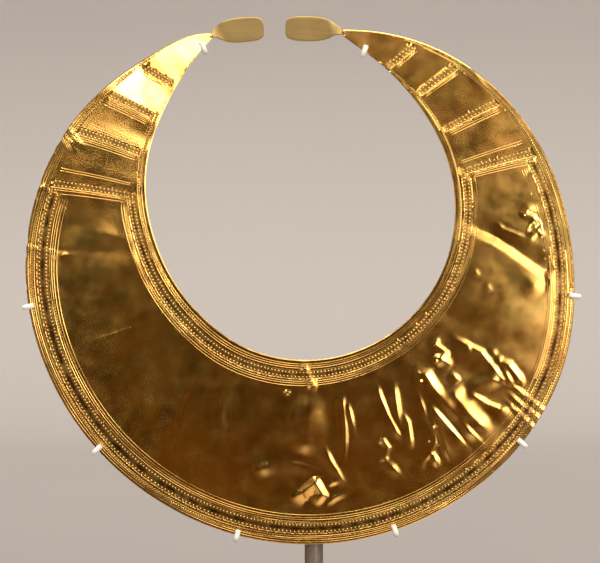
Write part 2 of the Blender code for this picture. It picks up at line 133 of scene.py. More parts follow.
# The crumpled sheet. It was once folded, then smoothed out again, and kept many ridges, most of them
# at its lower right. Each ridge: how wide it spreads left and right of its course in mm, then the
# course itself as points across and up from the middle of the opening, with the rise at each in
# hundredths of a mm.
RIDGES = (
    (10.0, 22.0, (-57, 50, 22), (-69, 57, 30), (-82, 64, 25)),
    (9.0, 9.0, (-62, 38, 12), (-76, 42, 18), (-90, 46, 12)),
    (2.5, 8.8, (58, -34, 2), (66, -38, 40), (72, -41, 45), (76, -46, 45), (80, -51, 40), (84, -56, 3)),
    (1.9, 3.8, (66, -37, 3), (67, -39, 18), (68, -43, 1)),
    (2.0, 3.8, (55, -34, 2), (54, -38, 30), (58, -41, 30), (55, -44, 30), (59, -45, 2)),
    (3.8, 5.0, (53, -42, 2), (57, -44, 45), (61, -47, 1)),
    (2.8, 6.2, (78, -42, 2), (80, -45, 35), (83, -46, 45), (87, -51, 45), (89, -55, 4)),
    (1.9, 3.8, (80, -46, 2), (83, -51, 35), (86, -56, 2)),
    (2.5, 3.8, (76, -39, 1), (77, -41, 14), (79, -44, 1)),
    (5.0, 6.2, (66, -57, 2), (72, -54, 55), (77, -52, 50), (81, -55, 4)),
    (2.2, 7.5, (66, -56, 2), (70, -59, 35), (75, -62, 40), (80, -64, 45), (86, -63, 2)),
    (1.9, 1.9, (84, -54, 2), (88, -57, 25), (98, -65, 30)),
    (1.9, 1.9, (83, -57, 2), (87, -61, 22), (96, -68, 28)),
    (1.9, 1.9, (82, -60, 2), (86, -64, 20), (94, -72, 25)),
    (6.2, 8.8, (59, -53, 4), (62, -59, 70), (67, -65, 80), (71, -69, 70), (76, -74, 4)),
    (2.0, 6.2, (63, -67, 2), (68, -73, 40), (73, -78, 4)),
    (3.8, 10.0, (44, -49, 4), (50, -50, 70), (53, -55, 60), (58, -61, 45), (65, -70, 2)),
    (1.9, 3.8, (59, -49, 1), (62, -51, 30), (64, -53, 1)),
    (1.9, 5.0, (30, -52, 2), (32, -59, 35), (35, -66, 35), (38, -72, 35), (41, -77, 2)),
    (2.5, 3.8, (37, -51, 2), (38, -59, 35), (39, -67, 30), (41, -76, 2)),
    (1.9, 3.8, (40, -64, 2), (43, -69, 30), (44, -76, 30), (44, -82, 2)),
    (1.9, 7.5, (45, -52, 1), (50, -66, 35), (53, -71, 40), (54, -77, 40), (52, -81, 30), (49, -85, 20),
     (48, -90, 2)),
    (2.2, 3.1, (52, -80, 3), (54, -84, 40), (55, -88, 2)),
    (2.0, 6.2, (50, -60, 2), (55, -66, 40), (62, -74, 45), (68, -81, 4)),
    (6.2, 2.8, (50, -61, 1), (54, -70, 40), (58, -79, 50), (61, -87, 4)),
    (1.9, 3.8, (17, -56, 1), (17, -62, 35), (18, -70, 35), (18, -77, 30), (17, -88, 1)),
    (1.9, 2.5, (18, -58, 2), (20, -66, 32), (22, -75, 4)),
    (2.0, 5.0, (9, -77, 2), (12, -84, 35), (15, -89, 30), (19, -96, 2)),
    (1.9, 2.5, (30, -77, 1), (33, -76, 30), (35, -79, 30), (34, -83, 25), (30, -85, 1)),
    (2.5, 5.0, (31, -82, 1), (37, -87, 35), (41, -92, 3)),
    (2.8, 3.1, (1, -43, 3), (2, -48, 50), (5, -54, 50), (4, -59, 2)),
    (10.0, 10.0, (3, -55, 10), (3, -66, 100), (2, -76, 80), (1, -84, 6)),
    (1.9, 1.9, (-7, -56, 1), (-5, -57, 30), (-3, -57, 1)),
    (1.9, 6.2, (-9, -84, 2), (0, -86, 30), (9, -88, 1)),
    (3.1, 6.2, (-5, -100, 2), (1, -97, 60), (6, -93, 85), (9, -98, 60), (6, -103, 2)),
    (1.9, 1.9, (11, -95, 2), (13, -93, 28), (16, -92, 2)),
    (1.9, 2.5, (9, -103, 2), (14, -99, 30), (20, -96, 2)),
    (3.8, 5.0, (-19, -89, 2), (-14, -87, 45), (-8, -84, 2)),
    (2.8, 8.8, (-40, -46, 1), (-43, -51, 20), (-46, -57, 30), (-49, -64, 25), (-50, -74, 1)),
    (6.2, 6.2, (-27, -55, 1), (-27, -68, 25), (-28, -85, 1)),
    (5.0, 6.2, (-31, -52, -1), (-32, -68, -25), (-31, -80, -1)),
    (1.9, 15.0, (-90, -39, 1), (-75, -34, 14), (-54, -27, 1)),
    (11.2, 11.2, (-94, -9, 8), (-66, -8, 20)),
    (1.9, 3.8, (-109, 1, 25), (-103, 0, 20), (-94, -2, 6), (-80, -3, 1)),
    (1.9, 2.5, (-100, -2, 2), (-96, -3, 20), (-92, -1, 1)),
    (6.2, 6.2, (-88, 8, 1), (-76, 6, 18), (-68, 4, 1)),
    (1.9, 2.5, (-96, 47, 4), (-92, 43, 30), (-89, 38, 2)),
    (1.9, 2.5, (-93, 49, 2), (-90, 44, 25), (-85, 40, 1)),
    (2.5, 2.5, (-105, 25, 30), (-99, 25, 2)),
    (2.5, 3.8, (62, 79, 1), (70, 70, 25), (76, 62, 1)),
    (7.5, 4.4, (63, 12, -1), (72, 8, -50), (79, 5, -65), (85, 1, -50), (92, -4, -42), (98, -8, -30),
     (102, -9, -1)),
    (1.9, 5.0, (77, 11, 1), (81, 8, 30), (86, 6, 25), (92, 4, 4)),
    (1.9, 3.1, (96, 16, 2), (91, 16, 30), (90, 14, 30), (93, 13, 30), (95, 10, 40), (93, 7, 35),
     (92, 4, 4)),
    (3.1, 2.5, (93, 12, 1), (94, 9, 35), (92, 5, 2)),
    (1.9, 1.9, (94, 9, 5), (96, 7, 20), (98, 5, 2)),
    (3.1, 1.9, (98, -8, 2), (100, -13, 25), (99, -18, 2)),
    (1.9, 3.8, (69, -7, 1), (70, -9, 12), (72, -11, 1)),
    (1.9, 3.8, (74, -13, 1), (75, -15, 10), (77, -17, 1)),
    (10.0, 7.5, (84, -4, 7), (93, -14, 30), (97, -18, 5)),
)
RISE_UNIT = 0.01 * MM
CREST_ROUNDING = 0.10
CREST_SHARPNESS = 0.60

# Slow waves left by the hammer: height, length and heading of each, and those that run across the gold
SLOW_WAVES = [
    (length * chance.uniform(0.0006, 0.001), length, chance.uniform(0, math.pi), chance.uniform(0, 6.3))
    for length in (24 * MM, 31 * MM, 38 * MM, 47 * MM, 60 * MM, 76 * MM)
]
CROSS_WAVES = ((0.016 * MM, 23, 0.4), (0.016 * MM, 37, 2.1), (0.010 * MM, 58, 4.4))


def ridge_height(spots, left, right, course):
    """Height of one ridge over the sheet: a creased crest that falls away on both sides."""
    points = np.array(course)
    corners, rises = points[:, :2] * MM, points[:, 2] * RISE_UNIT
    nearest = np.full(len(spots), np.inf)
    rise, side = np.zeros(len(spots)), np.zeros(len(spots))
    for k in range(len(corners) - 1):
        leg = corners[k + 1] - corners[k]
        t = np.clip((spots - corners[k]) @ leg / (leg @ leg), 0, 1)
        off = spots - corners[k] - t[:, None] * leg
        away = np.linalg.norm(off, axis=1)
        closer = away < nearest
        rise = np.where(closer, rises[k] + (rises[k + 1] - rises[k]) * smooth_step(0, 1, t), rise)
        turn = (leg[0] * off[:, 1] - leg[1] * off[:, 0]) / np.linalg.norm(leg) / np.maximum(away, 1e-9)
        side = np.where(closer, (1 + turn) / 2, side)
        nearest = np.minimum(nearest, away)
    away = nearest / ((right + (left - right) * side) * MM)
    tent = np.maximum(0, 1 - np.hypot(away, CREST_ROUNDING)) ** 2
    soft = np.maximum(0, 1 - away**2) ** 2
    return rise * (soft * (1 - CREST_SHARPNESS) + tent * CREST_SHARPNESS)


def face_depth(spots):
    """Y of the gold's front face: its slight bow, its waves and its ridges."""
    depth = MIDDLE_Y + BOW_DEPTH * (spots**2).sum(1) / HALF_WIDTH**2
    for height, length, heading, start in SLOW_WAVES:
        travel = spots @ np.array([math.cos(heading), math.sin(heading)])
        depth += height * np.sin(2 * math.pi * travel / length + start)
    turn = np.arctan2(spots[:, 0], -spots[:, 1])
    for height, count, start in CROSS_WAVES:
        depth += height * np.sin(count * turn + start)
    for left, right, *course in RIDGES:
        depth -= ridge_height(spots, left, right, course)
    return depth


# The ornament, tooled from the front: fine scored lines along both rims and round the long panel,
# rows of small raised beads in a pressed channel, and eight bands of beads across the horns.
LINE_WIDTH = 0.36 * MM
LINE_DEPTH = 0.08 * MM
POINT_STEP = 1.1 * MM
CHANNEL_DEPTH = 0.10 * MM
CHANNEL_WALL = 0.3 * MM
OUTER_CHANNEL = (4.5 * MM, 9.2 * MM)
INNER_CHANNEL = (4.4 * MM, 8.3 * MM)
BEAD_ROWS = (
    (OUTER, 5.5 * MM, 1.62 * MM),
    (OUTER, 8.25 * MM, 1.42 * MM),
    (INNER, 5.45 * MM, 1.42 * MM),
    (INNER, 7.3 * MM, 1.5 * MM),
)
BEAD_RADIUS = 0.46 * MM
BEAD_HEIGHT = 0.27 * MM
PANEL_LINES = ((OUTER, (9.9, 10.8, 11.7, 12.9)), (INNER, (9.0, 9.9, 10.9)))
RIM_LINES = ((OUTER, ((1.2, 16, 332), (2.1, 23, 325), (2.9, 31, 318), (3.7, 40, 308))),
             (INNER, ((1.6, 18, 331), (2.5, 25, 323), (3.4, 34, 314))))
BAND_SLANT = 2.2
BAND_FLOOR = 1.35 * MM
BANDS = (
    (27.5, (-0.7, 0.7), (2.1, 2.9), 0.22, 0.80),
    (38.8, (-0.75, 0.75), (-2.1, 2.1, 2.9), 0.19, 0.83),
    (51.7, (-0.75, 0.75), (2.1, 2.9, 3.8), 0.16, 0.86),
    (65.9, (-0.75, 0.75), (-5.0, -4.1, 2.1, 2.9, 3.8), 0.14, 0.87),
    (286.4, (-0.75, 0.75), (-5.6, -4.7, 2.1, 3.3), 0.14, 0.87),
    (299.7, (-0.75, 0.75), (-3.9, -3.0, -2.1, 2.1, 2.9, 3.8), 0.15, 0.86),
    (310.8, (-0.75, 0.75), (2.1, 2.9, 3.7, 4.5), 0.17, 0.84),
    (320.9, (-0.7, 0.7), (2.1, 2.9), 0.20, 0.80),
)
RIGHT_END, LEFT_END = BANDS[3][0], BANDS[4][0]
marks = {"spots": [], "relief": [], "hollow_shade": [], "tilt": [], "bead": []}


def mark(spots, relief, hollow_shade=0.0, tilt=0.0, bead=-1):
    """Adds points of the ornament: height above the sheet, how much painted shade darkens the gold there,
    slope, bead number.
    """
    count = len(spots)
    marks["spots"].append(spots)
    marks["relief"].append(np.broadcast_to(relief, count))
    marks["hollow_shade"].append(np.broadcast_to(hollow_shade, count))
    marks["tilt"].append(np.broadcast_to(tilt, (count, 2)))
    marks["bead"].append(np.broadcast_to(bead, count))


def gold_width(angle):
    return rim_radius(angle, OUTER) - rim_radius(angle, INNER)


def crowding(angle):
    """The border is widest at the left of the panel, and it narrows with the horns."""
    return (0.93 - 0.07 * np.sin(np.radians(angle))) * np.minimum(1, gold_width(angle) / (28 * MM))


def beside_rim(angle, rim, distance):
    return on_rim(angle, rim, (distance if rim == INNER else -distance) * crowding(angle))


def band_slant(band):
    return BAND_SLANT * math.cos(math.radians(band / 2))


def across_band(band, past, share):
    """Spots on a line across a horn. past is its distance from the band's middle, towards the panel."""
    towards = 1 if band < 180 else -1
    middle = np.linalg.norm(at_share(band, 0.5))
    angle = band + towards * np.degrees(past / middle) + band_slant(band) * (2 * share - 1)
    return at_share(angle, share)


def evenly(first, last, place, pitch):
    """Values between first and last whose spots stand an even pitch apart."""
    fine = np.linspace(first, last, 3000)
    run = np.linalg.norm(np.diff(place(fine), axis=0), axis=1)
    run = np.concatenate([[0], np.cumsum(run)])
    return np.interp(np.linspace(0, run[-1], max(3, round(run[-1] / pitch) + 1)), run, fine)


def score_line(first, last, place, floor=0.0):
    """A scored line: a V groove whose depth follows the hand, and which fades out at both ends."""
    along = evenly(first, last, lambda value: place(value, 0.0), POINT_STEP)
    count = np.arange(len(along))
    fade = np.clip(np.minimum(count, count[::-1]) / 3, 0, 1)
    hand = 0.8 + 0.2 * np.sin(count * 0.11 + chance.uniform(0, 6))
    wander = 0.05 * MM * np.sin(count * 0.07 + chance.uniform(0, 6))
    # The groove's bottom row carries painted shade, as dark as the groove is deep.
    for side in (-0.5, 0, 0.5):
        cut = hand * fade if side == 0 else 0 * fade
        mark(place(along, wander + side * LINE_WIDTH), floor - LINE_DEPTH * cut, cut)


def step_row(first, last, place, low, high):
    """A channel's edge: one row of points at the sheet's level and one at the channel's floor, with a
    little painted shade at the top and more at the floor.
    """
    along = evenly(first, last, lambda value: place(value, low), POINT_STEP)
    mark(place(along, high), 0.0, 0.1)
    mark(place(along, low), -CHANNEL_DEPTH, 0.55)


BEAD_PATTERN = [(0.0, 0.0)]
BEAD_PATTERN += [(0.5 * math.cos(k * math.pi / 3), 0.5 * math.sin(k * math.pi / 3)) for k in range(6)]
BEAD_PATTERN += [(math.cos(k * math.pi / 4), math.sin(k * math.pi / 4)) for k in range(8)]
BEAD_PATTERN = np.array(BEAD_PATTERN)
bead_count = 0


def bead_row(centres, floor):
    """A row of beads, each a low rounded dome pushed up from behind."""
    global bead_count
    for centre in centres:
        centre = centre + chance.normal(0, 0.035 * MM, 2)
        radius = BEAD_RADIUS * chance.uniform(0.9, 1.08)
        height = BEAD_HEIGHT * chance.uniform(0.75, 1.1)
        out = (BEAD_PATTERN**2).sum(1)
        tilt = -4 * height / radius * (1 - out)[:, None] * BEAD_PATTERN
        dome = floor + height * (1 - out) ** 2
        # Painted shade darkens each bead's rim, where it meets the channel floor.
        mark(centre + BEAD_PATTERN * radius, dome, out**2 * 0.7, tilt, bead_count)
        bead_count += 1


panel_ends = {}
for rim, side in ((OUTER, 1), (INNER, -1)):
    start = RIGHT_END + side * band_slant(RIGHT_END)
    end = LEFT_END + side * band_slant(LEFT_END)
    panel_ends[rim] = (start + 1.3, end - 1.3)
panel_lines = [
    (rim, [(distance, panel_ends[rim][0] + 1.2, panel_ends[rim][1] - 1.2) for distance in distances])
    for rim, distances in PANEL_LINES
]
for rim, lines in list(RIM_LINES) + panel_lines:
    for distance, first, last in lines:
        score_line(first, last, lambda angle, aside: beside_rim(angle, rim, distance * MM + aside))
for rim, (near, far) in ((OUTER, OUTER_CHANNEL), (INNER, INNER_CHANNEL)):
    for low, high in ((near + CHANNEL_WALL, near), (far - CHANNEL_WALL, far)):
        step_row(*panel_ends[rim], lambda angle, distance: beside_rim(angle, rim, distance), low, high)
    middle = sum(distance for row_rim, distance, _ in BEAD_ROWS if row_rim == rim) / 2
    along = evenly(*panel_ends[rim], lambda angle: beside_rim(angle, rim, middle), POINT_STEP)
    # The channel's middle is fully darkened with painted shade.
    mark(beside_rim(along, rim, middle), -CHANNEL_DEPTH, 1.0)
for rim, distance, pitch in BEAD_ROWS:
    along = evenly(*panel_ends[rim], lambda angle: beside_rim(angle, rim, distance), pitch)
    bead_row(beside_rim(along[1:-1], rim, distance), -CHANNEL_DEPTH)
for band, beads, lines, first, last in BANDS:
    for past in lines:
        score_line(first, last, lambda share, aside: across_band(band, past * MM + aside, share))
    for side in (-1, 1):
        step_row(
            first,
            last,
            lambda share, past: across_band(band, past, share),
            side * (BAND_FLOOR - CHANNEL_WALL / 2),
            side * (BAND_FLOOR + CHANNEL_WALL / 2),
        )
    for past in beads:
        along = evenly(first, last, lambda share: across_band(band, past * MM, share), 1.6 * MM)
        bead_row(across_band(band, past * MM, along), -CHANNEL_DEPTH)

# The outline's points in order: outer rim, left neck, inner rim, right neck. The rims are rolled
# a little to the back, and worn into small nicks at the upper left.
RIM_STEP = 0.8 * MM
RIM_ROLL = 0.09 * MM
RIM_ROLL_WIDTH = 0.35 * MM
NECK_ROWS = 12
NICKS = ((294.6, 0.35, 0.9), (291.3, 0.25, 0.6), (284.0, 0.3, 0.8), (281.5, 0.2, 0.5), (271.8, 0.45, 0.9),
         (268.9, 0.35, 0.7), (262.3, 0.25, 0.6), (71.0, 0.2, 0.6), (60.2, 0.2, 0.5), (88.0, 0.2, 0.5))
neck_shares = (1 + np.sin(np.linspace(-math.pi / 2, math.pi / 2, NECK_ROWS + 1))) / 2
outer_clocks = evenly(FIRST_NECK, LAST_NECK, lambda angle: on_rim(angle, OUTER), RIM_STEP)
inner_clocks = evenly(LAST_NECK, FIRST_NECK, lambda angle: on_rim(angle, INNER), RIM_STEP)
worn = np.zeros(len(outer_clocks))
for clock, depth, spread in NICKS:
    worn += depth * MM * np.exp(-(((outer_clocks - clock) / spread) ** 2))
worn += np.abs(chance.normal(0, 0.035 * MM, len(worn))) * smooth_step(20, 40, outer_clocks)
outer_rim = on_rim(outer_clocks, OUTER, -worn)
outer_rim[[0, -1]] = on_rim(outer_clocks[[0, -1]], OUTER)
inner_rim = on_rim(inner_clocks, INNER)
left_neck = at_share(np.full(NECK_ROWS - 1, LAST_NECK), neck_shares[-2:0:-1])
right_neck = at_share(np.full(NECK_ROWS - 1, FIRST_NECK), neck_shares[1:-1])
outline = np.concatenate([outer_rim, left_neck, inner_rim, right_neck])
rolled = np.zeros(len(outline))
rolled[: len(outer_rim)] = 1
rolled[len(outer_rim) + NECK_ROWS - 1 : len(outline) - NECK_ROWS + 1] = 1
inside_rim = np.concatenate([
    on_rim(outer_clocks[2:-2], OUTER, -worn[2:-2] - RIM_ROLL_WIDTH),
    on_rim(inner_clocks[2:-2], INNER, RIM_ROLL_WIDTH),
])


def hex_grid(step):
    """Even points over the gold's square, in rows set half a step apart."""
    reach = HALF_WIDTH * 1.1
    x, z = np.meshgrid(np.arange(-reach, reach, step), np.arange(-reach, reach, step * math.sqrt(3) / 2))
    x[::2] += step / 2
    return np.stack([x.ravel(), z.ravel()], 1)


def well_inside(spots, margin):
    angle, share = clock_and_share(spots)
    width = gold_width(angle)
    kept = (angle > FIRST_NECK + 0.5) & (angle < LAST_NECK - 0.5)
    return kept & (share * width > margin) & ((1 - share) * width > margin)


def in_channel(spots):
    """Whether spots lie in the border's channel or in a band, where the ornament's own points suffice."""
    angle, share = clock_and_share(spots)
    width, scale = gold_width(angle), crowding(angle)
    found = np.zeros(len(spots), bool)
    for rim, distance, channel in (
        (OUTER, (1 - share) * width, OUTER_CHANNEL),
        (INNER, share * width, INNER_CHANNEL),
    ):
        along = (angle > panel_ends[rim][0] - 0.5) & (angle < panel_ends[rim][1] + 0.5)
        found |= along & (distance > channel[0] * scale) & (distance < channel[1] * scale)
    for band, _, _, first, last in BANDS:
        past = np.radians(angle - band - band_slant(band) * (2 * share - 1))
        past = np.abs(past) * np.linalg.norm(at_share(band, 0.5))
        found |= (past < BAND_FLOOR + CHANNEL_WALL) & (share > first - 0.02) & (share < last + 0.02)
    return found


def clear_of(spots, taken, gap):
    """The spots that keep a gap from every point already taken."""
    tree = KDTree(len(taken))
    for index, (x, z) in enumerate(taken):
        tree.insert((x, z, 0), index)
    tree.balance()
    return spots[[tree.find((x, z, 0))[2] > gap for x, z in spots]]


def thinned(spots, gap):
    """The first spot in each square of the given size."""
    _, first = np.unique(np.round(spots / gap), axis=0, return_index=True)
    return spots[np.sort(first)]


def crest_points(gap):
    """Three rows of points along each ridge's crest, so that the mesh carries it cleanly."""
    found = []
    for _, _, *course in RIDGES:
        corners = np.array(course)[:, :2] * MM
        for start, end in zip(corners, corners[1:]):
            length = np.linalg.norm(end - start)
            aside = np.array([start[1] - end[1], end[0] - start[0]]) / length * 0.42 * MM
            t = np.linspace(0, 1, max(2, round(length / gap)))[:, None]
            found += [start + (end - start) * t + aside * k for k in (-1, 0, 1)]
    return thinned(np.concatenate(found), 0.35 * MM)


# The front face is meshed through all of those points, closely where the sheet was folded, and the
# plainer back face through fewer.
RIM_CLEARANCE = 0.9 * MM
LINE_CLEARANCE = 0.62 * MM
CREST_STEP = 0.8 * MM
FOLDED_CLOCKS = (76, 215)
FOLDED_STEP = 0.78 * MM
PLAIN_STEP = 1.3 * MM
BACK_STEP = 1.7 * MM
BACK_CLEARANCE = 0.7 * MM
ornament = {key: np.concatenate(value) for key, value in marks.items()}
fixed = np.concatenate([outline, inside_rim, ornament["spots"]])
crests = crest_points(CREST_STEP)
crests = clear_of(crests[well_inside(crests, RIM_CLEARANCE) & ~in_channel(crests)], fixed, LINE_CLEARANCE)
plain = [crests]
for step, folded in ((FOLDED_STEP, True), (PLAIN_STEP, False)):
    grid = hex_grid(step)
    grid = grid[well_inside(grid, RIM_CLEARANCE) & ~in_channel(grid)]
    angle = clock_of(grid)
    grid = grid[((angle > FOLDED_CLOCKS[0]) & (angle < FOLDED_CLOCKS[1])) == folded]
    plain.append(clear_of(clear_of(grid, fixed, LINE_CLEARANCE), crests, step * 0.5))
plain = np.concatenate(plain)


def triangulate(spots):
    """Triangles over the outline's inside, and the new number of each given point."""
    rim_count = len(outline)
    loop = [(k, (k + 1) % rim_count) for k in range(rim_count)]
    flat = [Vector(spot) for spot in spots / MM]
    found, _, faces, sources, _, _ = delaunay_2d_cdt(flat, loop, [list(range(rim_count))], 1, 1e-6)
    numbers = np.full(len(spots), -1)
    for number, source in enumerate(sources):
        for given in source:
            numbers[given] = number
    faces = np.array(faces)
    points = np.array(found)
    a, b, c = (points[faces[:, k]] for k in range(3))
    turned = np.cross(b - a, c - a) < 0
    faces[turned] = faces[turned][:, ::-1]
    return points * MM, faces, numbers


def sheet_thickness(angle):
    past = np.minimum(angle - FIRST_NECK, LAST_NECK - angle)
    past = np.radians(np.maximum(past, 0)) * 0.41 * LUNULA_WIDTH
    return NECK_THICKNESS + (SHEET_THICKNESS - NECK_THICKNESS) * smooth_step(0, NECK_LENGTH, past)


def slope_of(spots):
    step = 0.02 * MM
    here = face_depth(spots)
    sideways = (face_depth(spots + (step, 0)) - here) / step
    upwards = (face_depth(spots + (0, step)) - here) / step
    return here, np.stack([sideways, upwards], 1)


def in_space(spots, depth):
    return np.stack([spots[:, 0] + MIDDLE_X, depth, spots[:, 1] + MIDDLE_Z], 1)


def facing(slope, side):
    """Normals from slopes: side -1 for the front face, 1 for the back."""
    across = np.full(slope.shape[:-1], float(side))
    normal = np.stack([-slope[..., 0] * side, across, -slope[..., 1] * side], -1)
    return normal / np.linalg.norm(normal, axis=-1, keepdims=True)


# The horns end in narrow necks, drawn down to thin bars, and each bar was beaten out again into a
# flat paddle with a sloping shoulder and a square free end, its upper edge turned to the front.
RIGHT_PADDLE = ((9.9, 0.405), (-3.8, 0.4015))
LEFT_PADDLE = ((338.3, 0.4235), (350.7, 0.4065))
NECK_BEND_SHARE = 0.07
NECK_TURN_SHARE = 0.06
PADDLE_HALF_HEIGHT = 4.9 * MM
PADDLE_THICKNESS = 0.9 * MM
PADDLE_TILT = math.tan(math.radians(12))
SHOULDER_POWER = 1.9
FREE_END_POWER = 4.0
NECK_THICKNESS = 1.2 * MM
NECK_LENGTH = 4.5 * MM
PADDLE_STATIONS = 44
EDGE_POWER = 7
EDGE_FLAT = 0.35


def paddle_station(knot, paddle, reach):
    """One cross-section of a paddle: front and back rows of points from its lower to its upper edge."""
    (root_clock, root_share), (tip_clock, tip_share) = paddle
    root, tip = polar(root_clock, root_share * LUNULA_WIDTH), polar(tip_clock, tip_share * LUNULA_WIDTH)
    neck = polar(knot[0], (knot[1] + knot[2]) / 2 * LUNULA_WIDTH)
    middle = neck + (root + (tip - root) * reach - neck) * smooth_step(0, NECK_BEND_SHARE, reach)
    upward = np.array([root[1] - tip[1], tip[0] - root[0]])
    upward *= math.copysign(1, upward[1]) / np.linalg.norm(upward)
    neck_up = polar(knot[0], 1.0)
    upward = neck_up + (upward - neck_up) * smooth_step(0, NECK_TURN_SHARE, reach)
    upward /= np.linalg.norm(upward)
    power = SHOULDER_POWER if reach < 0.5 else FREE_END_POWER
    rounding = max(0.0, 1 - abs(2 * reach - 1) ** power) ** (1 / power)
    half = max((knot[2] - knot[1]) / 2 * LUNULA_WIDTH, PADDLE_HALF_HEIGHT * rounding)
    past = abs(reach * math.radians(tip_clock - knot[0])) * knot[2] * LUNULA_WIDTH
    settled = smooth_step(0, NECK_LENGTH, past)
    thickness = NECK_THICKNESS + (PADDLE_THICKNESS - NECK_THICKNESS) * settled
    height = 2 * neck_shares - 1
    spots = middle + height[:, None] * half * upward
    depth = face_depth(spots) - PADDLE_TILT * settled * half * height
    edge = EDGE_FLAT + (1 - EDGE_FLAT) * (1 - np.abs(height) ** EDGE_POWER) ** (1 / EDGE_POWER)
    edge = 1 + (edge - 1) * smooth_step(0, 1.5 * MM, past)
    centre = depth + thickness / 2
    return in_space(spots, centre - thickness / 2 * edge), in_space(spots, centre + thickness / 2 * edge)


def strip(near, far):
    """Triangles between two rows of point numbers."""
    near, far = np.asarray(near), np.asarray(far)
    return np.concatenate([
        np.stack([near[:-1], near[1:], far[1:]], 1),
        np.stack([near[:-1], far[1:], far[:-1]], 1),
    ])


def soft_normals(points, faces):
    """Rounded normals at each point, from the given faces alone."""
    a, b, c = (points[faces[:, k]] for k in range(3))
    flat = np.cross(b - a, c - a)
    total = np.zeros_like(points)
    for k in range(3):
        np.add.at(total, faces[:, k], flat)
    length = np.linalg.norm(total, axis=1, keepdims=True)
    return (total / np.maximum(length, 1e-20))[faces]


def front_face():
    """The tooled front: its points, faces, normals and painted shade, and its rim's point numbers."""
    spots, faces, number = triangulate(np.concatenate([fixed, plain]))
    count = len(spots)
    relief, hollow_shade = np.zeros(count), np.zeros(count)
    tilt, bead = np.zeros((count, 2)), np.full(count, -1)
    relief[number[: len(outline)]] = -RIM_ROLL * rolled
    placed = number[len(outline) + len(inside_rim) : len(fixed)]
    relief[placed], hollow_shade[placed] = ornament["relief"], ornament["hollow_shade"]
    tilt[placed], bead[placed] = ornament["tilt"], ornament["bead"]

    depth, slope = slope_of(spots)
    a, b, c = (spots[faces[:, k]] for k in range(3))
    height, bead = relief[faces], bead[faces]
    one, two = b - a, c - a
    rise_one, rise_two = height[:, 1] - height[:, 0], height[:, 2] - height[:, 0]
    area = one[:, 0] * two[:, 1] - one[:, 1] * two[:, 0]
    fall = np.stack([
        (rise_one * two[:, 1] - rise_two * one[:, 1]) / area,
        (rise_two * one[:, 0] - rise_one * two[:, 0]) / area,
    ], 1)
    same_bead = (bead == bead[:, :1]).all(1) & (bead[:, 0] >= 0)
    fall = np.where(same_bead[:, None, None], tilt[faces], fall[:, None, :])
    normals = facing(slope[faces] - fall, -1)
    return in_space(spots, depth - relief), faces, normals, hollow_shade, number[: len(outline)]


def back_face():
    """The plain back: its points, faces and normals, and its rim's point numbers."""
    grid = hex_grid(BACK_STEP)
    grid = grid[well_inside(grid, 1.0 * MM)]
    grid = clear_of(np.concatenate([crests[::2], grid]), outline, BACK_CLEARANCE)
    spots, faces, number = triangulate(np.concatenate([outline, thinned(grid, BACK_CLEARANCE)]))
    depth, slope = slope_of(spots)
    points = in_space(spots, depth + sheet_thickness(clock_of(spots)))
    return points, faces[:, ::-1], facing(slope[faces], 1)[:, ::-1], number[: len(outline)]


def paddle_rings(knot, paddle, near, first, turn):
    """One neck and paddle, ring after ring from the sheet's end: its points and its faces."""
    points, faces = [], []
    for k in range(1, PADDLE_STATIONS + 1):
        reach = (1 - math.cos(math.pi * k / PADDLE_STATIONS)) / 2
        far = []
        for row in paddle_station(knot, paddle, reach):
            points.append(row)
            far.append(np.arange(first, first + len(row)))
            first += len(row)
        faces += [
            strip(near[0], far[0]),
            strip(far[1], near[1]),
            strip([far[0][0], near[0][0]], [far[1][0], near[1][0]]),
            strip([near[0][-1], far[0][-1]], [near[1][-1], far[1][-1]]),
        ]
        near = far
    faces = np.concatenate(faces + [strip(*near)])
    return np.concatenate(points), faces if turn else faces[:, ::-1]


def build_gold():
    front, front_faces, front_normals, hollow_shade, front_rim = front_face()
    back, back_faces, back_normals, back_rim = back_face()
    back_rim = back_rim + len(front)
    points = np.concatenate([front, back])
    faces, normals = [front_faces, back_faces + len(front)], [front_normals, back_normals]
    left_rows = np.arange(len(outer_rim) - 1, len(outer_rim) + NECK_ROWS)
    right_rows = np.arange(len(outline) - NECK_ROWS, len(outline) + 1) % len(outline)
    for side in (np.arange(len(outer_rim)), np.arange(left_rows[-1], right_rows[0] + 1)):
        edge = strip(front_rim[side], back_rim[side])
        faces.append(edge)
        normals.append(soft_normals(points, edge))
    for knot, paddle, rows, turn in (
        (RIM_KNOTS[0], RIGHT_PADDLE, right_rows, False),
        (RIM_KNOTS[-1], LEFT_PADDLE, left_rows[::-1], True),
    ):
        near = [front_rim[rows], back_rim[rows]]
        more_points, more_faces = paddle_rings(knot, paddle, near, len(points), turn)
        points = np.concatenate([points, more_points])
        faces.append(more_faces)
        normals.append(soft_normals(points, more_faces))
    hollow_shade = np.pad(hollow_shade, (0, len(points) - len(hollow_shade)))
    return points, np.concatenate(faces), np.concatenate(normals), hollow_shade


LEFT_TIP_CLOCK = 353.5
MEAN_RADIUS = 90 * MM


def placed_object(name, data):
    made = bpy.data.objects.new(name, data)
    bpy.context.collection.objects.link(made)
    return made


